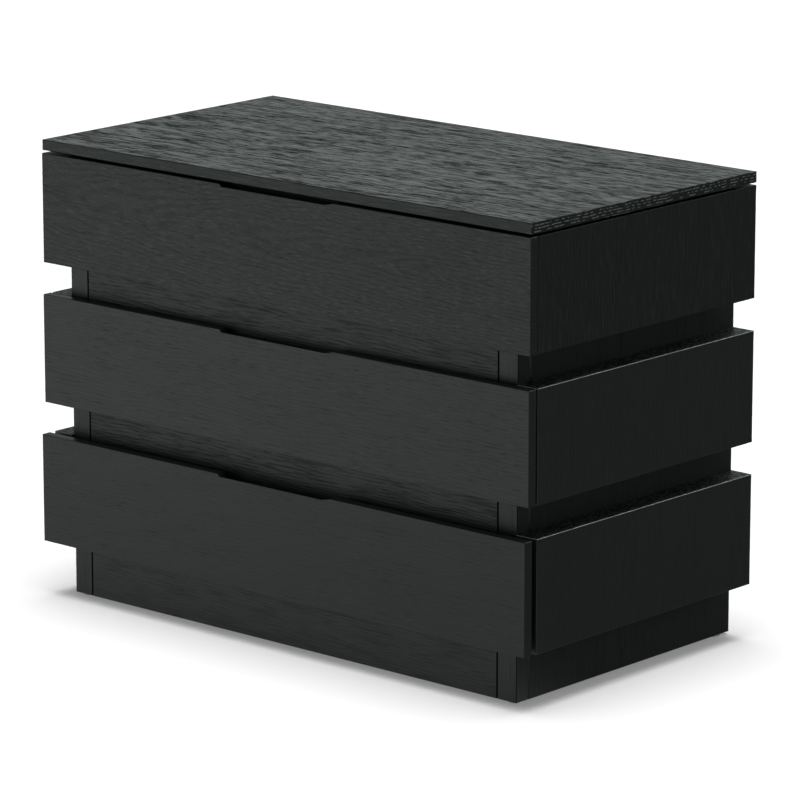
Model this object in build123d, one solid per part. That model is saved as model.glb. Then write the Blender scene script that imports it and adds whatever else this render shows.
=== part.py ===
from build123d import *
import os

# Nightstand with three wide drawers, in millimetres.
# X runs along the width, the drawers open towards -Y, and Z is up.
# The origin lies on the floor, under the middle of the outline at rest.
# Three bands of overlay boards wrap a narrower core: a drawer front across
# the front and a thick side board on each side, at three heights.

# ---- driving dimensions ----
WIDTH = 750.0
DEPTH = 398.0
HEIGHT = 552.0
BACK_Y = 203.0
TOP_T = 13.0
FOOT_H = 3.0
SHADOW_GAP = 3.0
BAND_H = 131.5
UPPER_BAND_BOTTOM = HEIGHT - TOP_T - SHADOW_GAP - BAND_H
BAND_BOTTOMS = {"upper": UPPER_BAND_BOTTOM, "middle": 235.0, "lower": 65.5}
SIDE_BOARD_T = 30.0
CORE_HALF_W = WIDTH / 2 - SIDE_BOARD_T
SIDE_PANEL_T = 15.0
POST_W = 28.0
POST_D = 21.0
POST_SETBACK = 14.7
SIDE_BOARD_SETBACK = 12.7
ARRIS = 0.6
V_GROOVE = 1.3

# ---- drawers: name, band it covers, and how far it stands open at rest ----
FRONT_T = 12.5
FRONT_PROUD = 1.0
DRAWERS = [("drawer_1", "upper", 0.0), ("drawer_2", "middle", 1.5), ("drawer_3", "lower", 7.0)]
NOTCH_HALF_W = 88.0
NOTCH_DEPTH = 3.0
NOTCH_FALL = 4.0
BOX_WALL_T = 12.0
BOX_H = 90.0
BOX_LEN = 350.0
BOX_RISE = 19.5
BOTTOM_T = 4.0
BOTTOM_RISE = 10.0
GROOVE_DEPTH = 6.0
WALL_ROUND = 1.5

# ---- telescopic runners ----
RUNNER_T = 12.7
RUNNER_LEN = 350.0
RUNNER_SETBACK = 2.3
SHEET_T = 1.2
RUNNER_GAP = 0.4
BATTEN_H = 60.0
CABINET_MEMBER = {"depth": 9.2, "half_h": 22.5, "flange": 1.5}
MIDDLE_MEMBER = {"low": 10.4, "web": 6.6, "high": 2.6, "half_h": 21.0 - RUNNER_GAP, "flange": 4.0}
DRAWER_MEMBER = {"depth": 4.8, "half_h": 16.6 - RUNNER_GAP, "flange": 3.5}
CABINET_HOLES = (9.0, 150.0, 290.0)
DRAWER_HOLES = (40.0, 200.0, 320.0)

# ---- frame members and fixings ----
RAIL_LAP = 14.5
TOP_RAIL_H = 20.0
STRETCHER_T = 15.0
STRETCHER_W = 80.0
BACK_T = 4.0
REBATE = 8.0
DOWEL_R = 4.0
DOWEL_BACK = 20.0
RAIL_DOWEL_LEN = 40.0
PANEL_DOWEL_LEN = 30.0
POST_DOWEL_IN = 12.0
POST_DOWEL_LEN = 32.0
SCREW_R = 2.0
SCREW_HEAD_R = 4.0
SCREW_HEAD_T = 3.0
PAN_SHANK_R = 1.6
PAN_HEAD_R = 3.4
PAN_HEAD_T = 1.6
SIDE_SCREW_LEN = 35.0
SIDE_SCREW_END = 20.0
SIDE_SCREW_INSET = 60.0
TOP_SCREW_X = (-240.0, 0.0, 240.0)
TOP_SCREW_LEN = 24.0
CABINET_SCREW_LEN = 12.0
DRAWER_SCREW_LEN = 10.0
CORNER_SCREW_LEN = 38.0
CORNER_SCREW_RISE = (26.0, BOX_H - 14.0)
FRONT_SCREW_LEN = 21.0
FRONT_SCREW_X = 200.0
FRONT_SCREW_RISE = (30.0, BOX_H - 20.0)
NAIL_R = 0.8
NAIL_LEN = 18.0
NAIL_INSET = 4.0
GLIDE_R = 7.0
GLIDE_ROUND = 0.8
FRONT_GLIDE = (16.0, 10.5)
REAR_GLIDE = (7.5, 18.0)
BUMPER_R = 4.0
BUMPER_END = 32.0
BUMPER_PLAY = 0.2

# ---- places worked out from the sizes above ----
HALF_W = WIDTH / 2
FRONT_Y = BACK_Y - DEPTH
CORE_TOP = HEIGHT - TOP_T
POST_FRONT = FRONT_Y + POST_SETBACK
POST_BACK = POST_FRONT + POST_D
POST_INNER = CORE_HALF_W - POST_W
PANEL_INNER = CORE_HALF_W - SIDE_PANEL_T
BACK_FACE = BACK_Y - BACK_T
BOARD_FRONT = FRONT_Y + SIDE_BOARD_SETBACK
CLOSED_FACE = FRONT_Y - FRONT_PROUD
CLOSED_BACK = CLOSED_FACE + FRONT_T
BOX_HALF_W = POST_INNER - RUNNER_T
BOX_INNER = BOX_HALF_W - BOX_WALL_T
RUNNER_FRONT = POST_FRONT + RUNNER_SETBACK
BASE_TOP = BAND_BOTTOMS["lower"] + RAIL_LAP
SIDES = {"left": -1, "right": 1}


def block(x, y, z):
    """A plain cuboid from its (low, high) pair along each axis."""
    size = [high - low for low, high in (x, y, z)]
    middle = [(high + low) / 2 for low, high in (x, y, z)]
    return Pos(*middle) * Box(*size)


def board(x, y, z, arris=ARRIS):
    """A sawn board with every edge eased by a small round."""
    plain = block(x, y, z)
    return fillet(plain.edges(), arris)


def box_wall(x, y, z):
    """One wall of a drawer box, with its two long top edges rounded."""
    plain = block(x, y, z)
    top_edges = plain.edges().group_by(Axis.Z)[-1].sort_by(SortBy.LENGTH)[-2:]
    return fillet(top_edges, WALL_ROUND)


def span(side, low, high):
    """The (low, high) pair of X for a piece on one side of the object."""
    pair = (side * low, side * high)
    return (min(pair), max(pair))


def rod(point, axis, length, radius):
    """A round bar that starts at a point and runs along a direction."""
    place = Plane(origin=point, z_dir=axis)
    return place * Cylinder(radius, length, align=(Align.CENTER, Align.CENTER, Align.MIN))


def screw(point, axis, length):
    """A wood screw with its head flush at the point, running along a direction."""
    return rod(point, axis, length, SCREW_R) + rod(point, axis, SCREW_HEAD_T, SCREW_HEAD_R)


def bored(piece, fixings):
    """The piece with a hole for each fixing that reaches into it."""
    low = piece.bounding_box().min
    high = piece.bounding_box().max
    for fixing in fixings:
        box = fixing.bounding_box()
        apart = (
            box.min.X >= high.X or box.max.X <= low.X
            or box.min.Y >= high.Y or box.max.Y <= low.Y
            or box.min.Z >= high.Z or box.max.Z <= low.Z
        )
        if not apart:
            piece = piece - fixing
    return piece


def mirrored(pieces):
    """The pieces together with their mirror images on the other side."""
    return pieces + [mirror(piece, about=Plane.YZ) for piece in pieces]


def at_heights(low, high, count):
    """Evenly spread places between two ends, set in from both."""
    step = (high - low) / count
    return [low + step * (i + 0.5) for i in range(count)]


def box_bottom(band):
    """Height of a drawer box's lower edge above the floor."""
    return BAND_BOTTOMS[band] + BOX_RISE


def runner_height(band):
    """Height of a drawer runner's centre line."""
    return box_bottom(band) + BOX_H / 2


def make_dowels():
    """Beech dowels that join rails, posts, stretchers and the base."""
    rail_heights = []
    for low, high in (RAILS["plinth_board"], RAILS["lower_rail"], RAILS["upper_rail"]):
        rail_heights += at_heights(low, high, 2)
    rail_heights.append(sum(RAILS["top_front_rail"]) / 2)
    middle_y = POST_FRONT + POST_D / 2
    stretcher_z = CORE_TOP - STRETCHER_T / 2
    base_z = BASE_TOP - STRETCHER_T / 2
    rail_x = POST_INNER - DOWEL_BACK
    panel_x = PANEL_INNER - DOWEL_BACK
    post_x = PANEL_INNER + SIDE_PANEL_T / 2
    dowels = [rod((rail_x, middle_y, z), (1, 0, 0), RAIL_DOWEL_LEN, DOWEL_R) for z in rail_heights]
    for y in STRETCHER_DOWELS:
        dowels.append(rod((panel_x, y, stretcher_z), (1, 0, 0), PANEL_DOWEL_LEN, DOWEL_R))
    for y in at_heights(POST_BACK, BACK_FACE, 3):
        dowels.append(rod((panel_x, y, base_z), (1, 0, 0), PANEL_DOWEL_LEN, DOWEL_R))
    for z in at_heights(FOOT_H, CORE_TOP, 4):
        dowels.append(rod((post_x, POST_BACK - POST_DOWEL_IN, z), (0, 1, 0), POST_DOWEL_LEN, DOWEL_R))
    return mirrored(dowels)


def pan_screw(point, axis, length):
    """A pan-head screw whose shank starts at the point and runs along a direction."""
    back = tuple(-part for part in axis)
    return rod(point, axis, length, PAN_SHANK_R) + rod(point, back, PAN_HEAD_T, PAN_HEAD_R)


def make_side_board_screws():
    """Four screws for each side board, driven outwards from inside the core."""
    screws = []
    for bottom in BAND_BOTTOMS.values():
        for z in (bottom + SIDE_SCREW_END, bottom + BAND_H - SIDE_SCREW_END):
            for y in (BOARD_FRONT + SIDE_SCREW_INSET, BACK_Y - SIDE_SCREW_INSET):
                screws.append(screw((PANEL_INNER, y, z), (1, 0, 0), SIDE_SCREW_LEN))
    return mirrored(screws)


def make_top_screws():
    """Screws driven up through both stretchers into the top."""
    screws = []
    for y in (FRONT_STRETCHER_Y + STRETCHER_W / 2, BACK_FACE - STRETCHER_W / 2):
        for x in TOP_SCREW_X:
            screws.append(screw((x, y, CORE_TOP - STRETCHER_T), (0, 0, 1), TOP_SCREW_LEN))
    return screws


def make_back_nails():
    """Panel pins that hold the back to the stretcher, the base and the sides."""
    pins = []
    for z in (BASE_TOP - STRETCHER_T / 2, CORE_TOP - STRETCHER_T / 2):
        for x in at_heights(-PANEL_INNER, PANEL_INNER, 5):
            pins.append(rod((x, BACK_Y, z), (0, -1, 0), NAIL_LEN, NAIL_R))
    for z in at_heights(BASE_TOP, CORE_TOP - STRETCHER_T, 4):
        pins += mirrored([rod((PANEL_INNER + NAIL_INSET, BACK_Y, z), (0, -1, 0), NAIL_LEN, NAIL_R)])
    return pins


def make_runner_screws():
    """Screws that hold the cabinet half of each runner to post and battens."""
    screws = []
    for band in BAND_BOTTOMS:
        for hole in CABINET_HOLES:
            point = (POST_INNER - SHEET_T, RUNNER_FRONT + hole, runner_height(band))
            screws.append(pan_screw(point, (1, 0, 0), CABINET_SCREW_LEN))
    return mirrored(screws)


def make_bumpers():
    """Soft pads on the posts that meet the back of each drawer front."""
    x = POST_INNER + POST_W / 2
    reach = POST_FRONT - CLOSED_BACK - BUMPER_PLAY
    pads = []
    for bottom in BAND_BOTTOMS.values():
        for z in (bottom + BUMPER_END, bottom + BAND_H - BUMPER_END):
            pads.append(rod((x, POST_FRONT, z), (0, -1, 0), reach, BUMPER_R))
    return mirrored(pads)


def make_glides():
    """Four round nail-on glides, under the posts and the rear of the sides."""
    front_spot = (POST_INNER + FRONT_GLIDE[0], POST_FRONT + FRONT_GLIDE[1], 0)
    rear_spot = (CORE_HALF_W - REAR_GLIDE[0], BACK_Y - REAR_GLIDE[1], 0)
    glides = mirrored([rod(spot, (0, 0, 1), FOOT_H, GLIDE_R) for spot in (front_spot, rear_spot)])
    return [fillet(glide.edges().group_by(Axis.Z)[0], GLIDE_ROUND) for glide in glides]


def make_post(side):
    """A front corner post, with its grooved edges towards rails and side."""
    post = block(span(side, POST_INNER, CORE_HALF_W), (POST_FRONT, POST_BACK), (FOOT_H, CORE_TOP))
    uprights = post.edges().filter_by(Axis.Z)
    inner = [e for e in uprights if side * e.center().X < POST_INNER + 1]
    outer = [e for e in uprights if side * e.center().X > POST_INNER + 1]
    grooved = [e for e in inner if e.center().Y < POST_BACK - 1]
    grooved += [e for e in outer if e.center().Y > POST_BACK - 1]
    rounded = [e for e in outer if e.center().Y < POST_BACK - 1]
    post = chamfer(grooved, V_GROOVE)
    corner = [
        e for e in post.edges().filter_by(Axis.Z)
        if (e.center() - rounded[0].center()).length < 0.01
    ]
    return fillet(corner, ARRIS)


def make_rail(heights):
    """A front rail between the posts, with chamfered ends on its show face."""
    rail = block((-POST_INNER, POST_INNER), (POST_FRONT, POST_BACK), heights)
    ends = [e for e in rail.edges().filter_by(Axis.Z) if e.center().Y < POST_BACK - 1]
    return chamfer(ends, V_GROOVE)


def make_side_panel(side):
    """A core side, rebated for the back and grooved against the post."""
    panel = block(span(side, PANEL_INNER, CORE_HALF_W), (POST_BACK, BACK_Y), (FOOT_H, CORE_TOP))
    outer = [e for e in panel.edges().filter_by(Axis.Z) if side * e.center().X > PANEL_INNER + 1]
    front = [e for e in outer if e.center().Y < BACK_Y - 1]
    panel = chamfer(front, V_GROOVE)
    rebate_x = span(side, PANEL_INNER - 1, PANEL_INNER + REBATE)
    return panel - block(rebate_x, (BACK_FACE, BACK_Y + 1), (BASE_TOP - STRETCHER_T, CORE_TOP + 1))


def channel(inner_x, outer_x, web_x, half_h, flange_t, y):
    """One member of a runner: an upright web with a flange at top and bottom."""
    web = block(web_x, y, (-half_h, half_h))
    upper = block((inner_x, outer_x), y, (half_h - flange_t, half_h))
    lower = block((inner_x, outer_x), y, (-half_h, flange_t - half_h))
    return web + upper + lower


def runner_member(kind, band, slide):
    """Both sides of one runner member, moved forwards by its slide."""
    outer = POST_INNER
    inner = POST_INNER - RUNNER_T
    y = (RUNNER_FRONT - slide, RUNNER_FRONT - slide + RUNNER_LEN)
    if kind == "cabinet":
        size = CABINET_MEMBER
        x = (outer - size["depth"], outer)
        web = (outer - SHEET_T, outer)
    elif kind == "middle":
        size = MIDDLE_MEMBER
        x = (outer - size["low"], outer - size["high"])
        web = (outer - size["web"], outer - size["web"] + SHEET_T)
    else:
        size = DRAWER_MEMBER
        x = (inner, inner + size["depth"])
        web = (inner, inner + SHEET_T)
    member = channel(*x, web, size["half_h"], size["flange"], y)
    member = Pos(0, 0, runner_height(band)) * member
    return mirrored([member])


def make_drawer_front(band, face_y):
    """The overlay front, with a shallow finger notch let into its top edge."""
    bottom = BAND_BOTTOMS[band]
    top = bottom + BAND_H
    back_y = face_y + FRONT_T
    front = board((-HALF_W, HALF_W), (face_y, back_y), (bottom, top))
    section = Polyline(
        (face_y - 1, top - NOTCH_DEPTH),
        (face_y, top - NOTCH_DEPTH),
        (back_y, top - NOTCH_DEPTH - NOTCH_FALL),
        (back_y + 1, top - NOTCH_DEPTH - NOTCH_FALL),
        (back_y + 1, top + 1),
        (face_y - 1, top + 1),
        close=True,
    )
    notch = extrude(Plane.YZ * make_face(section), NOTCH_HALF_W, both=True)
    return front - notch


def make_drawer_screws(band, face_y):
    """Screws of one drawer: through its corners, into its front and its runners."""
    low = box_bottom(band)
    back_y = face_y + FRONT_T
    inner_face = back_y + BOX_WALL_T
    screws = []
    for y in (back_y + BOX_WALL_T / 2, back_y + BOX_LEN - BOX_WALL_T / 2):
        for rise in CORNER_SCREW_RISE:
            screws.append(screw((BOX_HALF_W, y, low + rise), (-1, 0, 0), CORNER_SCREW_LEN))
    for rise in FRONT_SCREW_RISE:
        screws.append(screw((FRONT_SCREW_X, inner_face, low + rise), (0, -1, 0), FRONT_SCREW_LEN))
    runner_start = RUNNER_FRONT + face_y - CLOSED_FACE
    for hole in DRAWER_HOLES:
        point = (BOX_HALF_W + SHEET_T, runner_start + hole, runner_height(band))
        screws.append(pan_screw(point, (-1, 0, 0), DRAWER_SCREW_LEN))
    return mirrored(screws)


def make_drawer(name, band, ajar):
    """Every piece of one drawer, standing open by the given distance."""
    face_y = CLOSED_FACE - ajar
    start = face_y + FRONT_T
    end = start + BOX_LEN
    low = box_bottom(band)
    z = (low, low + BOX_H)
    screws = make_drawer_screws(band, face_y)
    bottom_edge = BOX_WALL_T - GROOVE_DEPTH
    bottom = block(
        (-BOX_INNER - GROOVE_DEPTH, BOX_INNER + GROOVE_DEPTH),
        (start + bottom_edge, end - bottom_edge),
        (low + BOTTOM_RISE, low + BOTTOM_RISE + BOTTOM_T),
    )
    walls = {
        "inner_front": box_wall((-BOX_INNER, BOX_INNER), (start, start + BOX_WALL_T), z),
        "back": box_wall((-BOX_INNER, BOX_INNER), (end - BOX_WALL_T, end), z),
        "left_side": box_wall((-BOX_HALF_W, -BOX_INNER), (start, end), z),
        "right_side": box_wall((BOX_INNER, BOX_HALF_W), (start, end), z),
    }
    pieces = {f"{name}_front": [bored(make_drawer_front(band, face_y), screws)]}
    for wall, shape in walls.items():
        pieces[f"{name}_{wall}"] = [bored(shape - bottom, screws)]
    pieces[f"{name}_bottom"] = [bottom]
    pieces[f"{name}_runners"] = [
        bored(member, screws) for member in runner_member("drawer", band, ajar)
    ]
    pieces[f"{name}_middle_runners"] = runner_member("middle", band, ajar / 2)
    pieces[f"{name}_screws"] = screws
    return pieces


# ---- heights of the front rails, each lapping behind the drawer fronts ----
BAND_TOPS = {band: bottom + BAND_H for band, bottom in BAND_BOTTOMS.items()}
RAILS = {
    "plinth_board": (FOOT_H, BASE_TOP),
    "lower_rail": (BAND_TOPS["lower"] - RAIL_LAP, BAND_BOTTOMS["middle"] + RAIL_LAP),
    "upper_rail": (BAND_TOPS["middle"] - RAIL_LAP, BAND_BOTTOMS["upper"] + RAIL_LAP),
    "top_front_rail": (CORE_TOP - TOP_RAIL_H, CORE_TOP),
}
FRONT_STRETCHER_Y = POST_BACK
STRETCHER_DOWELS = at_heights(FRONT_STRETCHER_Y, FRONT_STRETCHER_Y + STRETCHER_W, 2)
STRETCHER_DOWELS += at_heights(BACK_FACE - STRETCHER_W, BACK_FACE, 2)

# ---- fixings first, because the boards are bored for them ----
dowels = make_dowels()
side_board_screws = make_side_board_screws()
top_screws = make_top_screws()
back_nails = make_back_nails()
runner_screws = make_runner_screws()
fixings = dowels + side_board_screws + top_screws + back_nails + runner_screws

# ---- the cabinet ----
stretcher_z = (CORE_TOP - STRETCHER_T, CORE_TOP)
between_panels = (-PANEL_INNER, PANEL_INNER)
front_stretcher_y = (FRONT_STRETCHER_Y, FRONT_STRETCHER_Y + STRETCHER_W)
boards = {
    "top_panel": [board((-HALF_W, HALF_W), (FRONT_Y, BACK_Y), (CORE_TOP, HEIGHT))],
    "front_stretcher": [block(between_panels, front_stretcher_y, stretcher_z)],
    "rear_stretcher": [block(between_panels, (BACK_FACE - STRETCHER_W, BACK_FACE), stretcher_z)],
    "base_panel": [block(between_panels, (POST_BACK, BACK_FACE), (BASE_TOP - STRETCHER_T, BASE_TOP))],
    "back_panel": [
        block(
            (-PANEL_INNER - REBATE, PANEL_INNER + REBATE),
            (BACK_FACE, BACK_Y),
            (BASE_TOP - STRETCHER_T, CORE_TOP),
        )
    ],
}
for rail_name, heights in RAILS.items():
    boards[rail_name] = [make_rail(heights)]
for side_name, side in SIDES.items():
    boards[f"{side_name}_post"] = [make_post(side)]
    boards[f"{side_name}_side_panel"] = [make_side_panel(side)]
    batten_x = span(side, POST_INNER, PANEL_INNER)
    batten_y = (POST_BACK, RUNNER_FRONT + RUNNER_LEN)
    boards[f"{side_name}_runner_battens"] = [
        block(batten_x, batten_y, (runner_height(b) - BATTEN_H / 2, runner_height(b) + BATTEN_H / 2))
        for b in BAND_BOTTOMS
    ]
    for band, bottom in BAND_BOTTOMS.items():
        shape = board(span(side, CORE_HALF_W, HALF_W), (BOARD_FRONT, BACK_Y), (bottom, bottom + BAND_H))
        boards[f"{side_name}_side_board_{band}"] = [shape]

nodes = {name: [bored(piece, fixings) for piece in pieces] for name, pieces in boards.items()}
nodes["dowels"] = dowels
nodes["side_board_screws"] = side_board_screws
nodes["top_screws"] = top_screws
nodes["back_nails"] = back_nails
nodes["runner_screws"] = runner_screws
nodes["bumpers"] = make_bumpers()
nodes["floor_glides"] = make_glides()

# ---- the drawers and their runners ----
for drawer_name, band, ajar in DRAWERS:
    nodes[f"{drawer_name}_cabinet_runners"] = [
        bored(member, runner_screws) for member in runner_member("cabinet", band, 0.0)
    ]
    nodes.update(make_drawer(drawer_name, band, ajar))

# ---- one STEP file for each node ----
os.makedirs("parts", exist_ok=True)
for name, pieces in nodes.items():
    solids = [solid for piece in pieces for solid in piece.solids()]
    shape = solids[0] if len(solids) == 1 else Compound(children=solids)
    export_step(shape, f"parts/{name}.step")
print(len(nodes), "nodes written")
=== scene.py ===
"""Looks of a wide nightstand in black-stained oak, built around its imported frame.

Every show board is a swept, softly eased board with its own run of grain, and the
runners, screws, pins, glides and pads are worked out as surfaces of their own.
"""
import logging
import math
from dataclasses import dataclass, field
from enum import Enum
from typing import Any, Callable, Sequence

import bmesh
import bpy
import numpy as np
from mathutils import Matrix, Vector


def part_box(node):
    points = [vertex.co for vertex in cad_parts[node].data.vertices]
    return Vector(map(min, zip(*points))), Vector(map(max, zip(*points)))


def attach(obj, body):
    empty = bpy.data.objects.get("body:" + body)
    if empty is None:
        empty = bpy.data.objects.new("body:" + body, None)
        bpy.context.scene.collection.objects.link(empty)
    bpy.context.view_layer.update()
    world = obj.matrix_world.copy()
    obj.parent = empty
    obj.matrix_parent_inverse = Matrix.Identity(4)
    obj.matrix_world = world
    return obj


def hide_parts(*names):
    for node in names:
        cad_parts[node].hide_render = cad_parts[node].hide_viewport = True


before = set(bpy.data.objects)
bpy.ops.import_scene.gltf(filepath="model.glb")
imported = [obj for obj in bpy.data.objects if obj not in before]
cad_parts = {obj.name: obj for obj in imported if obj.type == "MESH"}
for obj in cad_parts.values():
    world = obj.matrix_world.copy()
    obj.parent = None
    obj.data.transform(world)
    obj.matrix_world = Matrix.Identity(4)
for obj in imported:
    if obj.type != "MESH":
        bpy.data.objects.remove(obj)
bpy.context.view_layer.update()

Tree = bpy.types.NodeTree
Socket = bpy.types.NodeSocket
Pair = tuple[float, float]
Triple = tuple[float, float, float]
# vertex places, one row each, and the four vertex numbers of each face
Shape = tuple[np.ndarray, np.ndarray]
# a point, and the direction that points out of the surface there
Spot = tuple[Triple, Triple]

LOG = logging.getLogger("nightstand")
MM = 0.001
SIDES = {"left": -1, "right": 1}
BANDS = ("upper", "middle", "lower")
SHARP_ANGLE = math.radians(32)
S_CURVE = {"interpolation_type": "SMOOTHSTEP"}

# vertices closer than the first distance are one, and edges below the second are dropped, in metres
MERGED = 2e-6
DROPPED = 1e-6
# a face looks along the fibres when the cosine between them passes this
END_GRAIN = 0.8
# width of a cross recess's arm as a share of its length, and how much of its depth is lost at its tips
CROSS_WIDTH = 0.3
CROSS_FADE = 0.6

# how far a board's pattern slides along, over and through the log for each step of its seed, in millimetres
SLIP = (617.0, 231.0, 413.0)
# rows of flecks on end grain: their spacing, the length of a dash and their bend, in millimetres
FLECK_ROW = 3.3
FLECK_LENGTH = 5.5
FLECK_BEND = 4.0
# how far along the noise one row stands from the next, so that no two rows match
ROW_SHIFT = 7.7
# where a noise or a wave turns from nothing to full
PORES = (0.05, 0.42)
BREAKS = (0.35, 0.6)
PATCHES = (0.42, 0.66)
GLINTS = (0.52, 0.68)
DASHES = (0.46, 0.56)
LINES = (0.24, 0.42)
# where a normal turns from level to upright, from edge to broad face, and from flat to rounded
UPRIGHT = (0.2, 0.45)
BROAD = (0.75, 0.95)
ROUNDED = (1.08, 1.3)
# how much rings and patches draw streaks to themselves, and how softly a streak begins
CROWDING = 0.05
STREAK_EDGE = 0.14
# least sheen of any lacquer, and how much rougher a fully dull spot is
LEAST_SHEEN = 0.02
DULL_ROUGHNESS = 0.2


def srgb(code: str) -> tuple[float, float, float, float]:
    """Turns an sRGB hex code into a linear colour.

    Args:
        code: six hex digits after a hash sign.

    Returns:
        Linear red, green, blue and an alpha of one.
    """
    parts = [int(code[i : i + 2], 16) / 255 for i in (1, 3, 5)]
    low = [c / 12.92 if c <= 0.04045 else ((c + 0.055) / 1.055) ** 2.4 for c in parts]
    return (low[0], low[1], low[2], 1.0)


def add(
    tree: Tree, kind: str, inputs: dict | Sequence = (), pick: int | str | None = 0, **settings: Any
) -> Any:
    """Adds one node with its settings and links.

    Args:
        tree: node tree that gets the node.
        kind: node type without its leading "ShaderNode".
        inputs: plain values, or the outputs that feed them, in socket order or by socket name or index.
        pick: name or index of the output that is wanted, or None for all of them.
        settings: properties of the node itself.

    Returns:
        The wanted output, or all of the node's outputs.
    """
    node = tree.nodes.new("ShaderNode" + kind)
    for name, value in settings.items():
        setattr(node, name, value)
    for socket, value in inputs.items() if isinstance(inputs, dict) else enumerate(inputs):
        if isinstance(value, Socket):
            tree.links.new(value, node.inputs[socket])
        else:
            node.inputs[socket].default_value = value
    return node.outputs if pick is None else node.outputs[pick]


def blank(name: str) -> tuple[bpy.types.Material, Tree]:
    """Makes a new material with an empty node tree.

    Args:
        name: name of the finish.

    Returns:
        The material and its node tree.
    """
    material = bpy.data.materials.new(name)
    material.use_nodes = True
    material.node_tree.nodes.clear()
    return material, material.node_tree


def show(tree: Tree, surface: dict[str, Any], height: Socket, strength: float, depth: float) -> None:
    """Ends a material: a shader whose surface rises and sinks with a height.

    Args:
        tree: node tree of the material.
        surface: the shader's inputs by name.
        height: zero where the surface is lowest.
        strength: share of the relief that shows.
        depth: what one unit of height stands for, in millimetres.
    """
    bump = add(tree, "Bump", {"Height": height, "Strength": strength, "Distance": depth * MM})
    shader = add(tree, "BsdfPrincipled", {**surface, "Normal": bump})
    add(tree, "OutputMaterial", {"Surface": shader}, None)


class Grain(Enum):
    """The way the wood fibres run, as the turn that lays local X along them."""

    WIDTH = (0.0, 0.0, 0.0)
    DEPTH = (0.0, 0.0, math.pi / 2)
    UPRIGHT = (0.0, -math.pi / 2, 0.0)

    def places(self, tree: Tree, centre: Vector, tilt: Pair = (0.0, 0.0)) -> Socket:
        """Places about a board's middle in millimetres, with X along the fibres.

        Args:
            tree: node tree of the material.
            centre: middle of the board, in metres.
            tilt: how far the log leans in the board, in degrees.

        Returns:
            The places.
        """
        turn = self.value
        turn = (turn[0], turn[1] + math.radians(tilt[0]), turn[2] + math.radians(tilt[1]))
        coords = add(tree, "TexCoord", pick="Object")
        frame_of_log = {"Vector": coords, "Location": tuple(centre), "Rotation": turn, "Scale": (MM, MM, MM)}
        return add(tree, "Mapping", frame_of_log, vector_type="TEXTURE")


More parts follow.
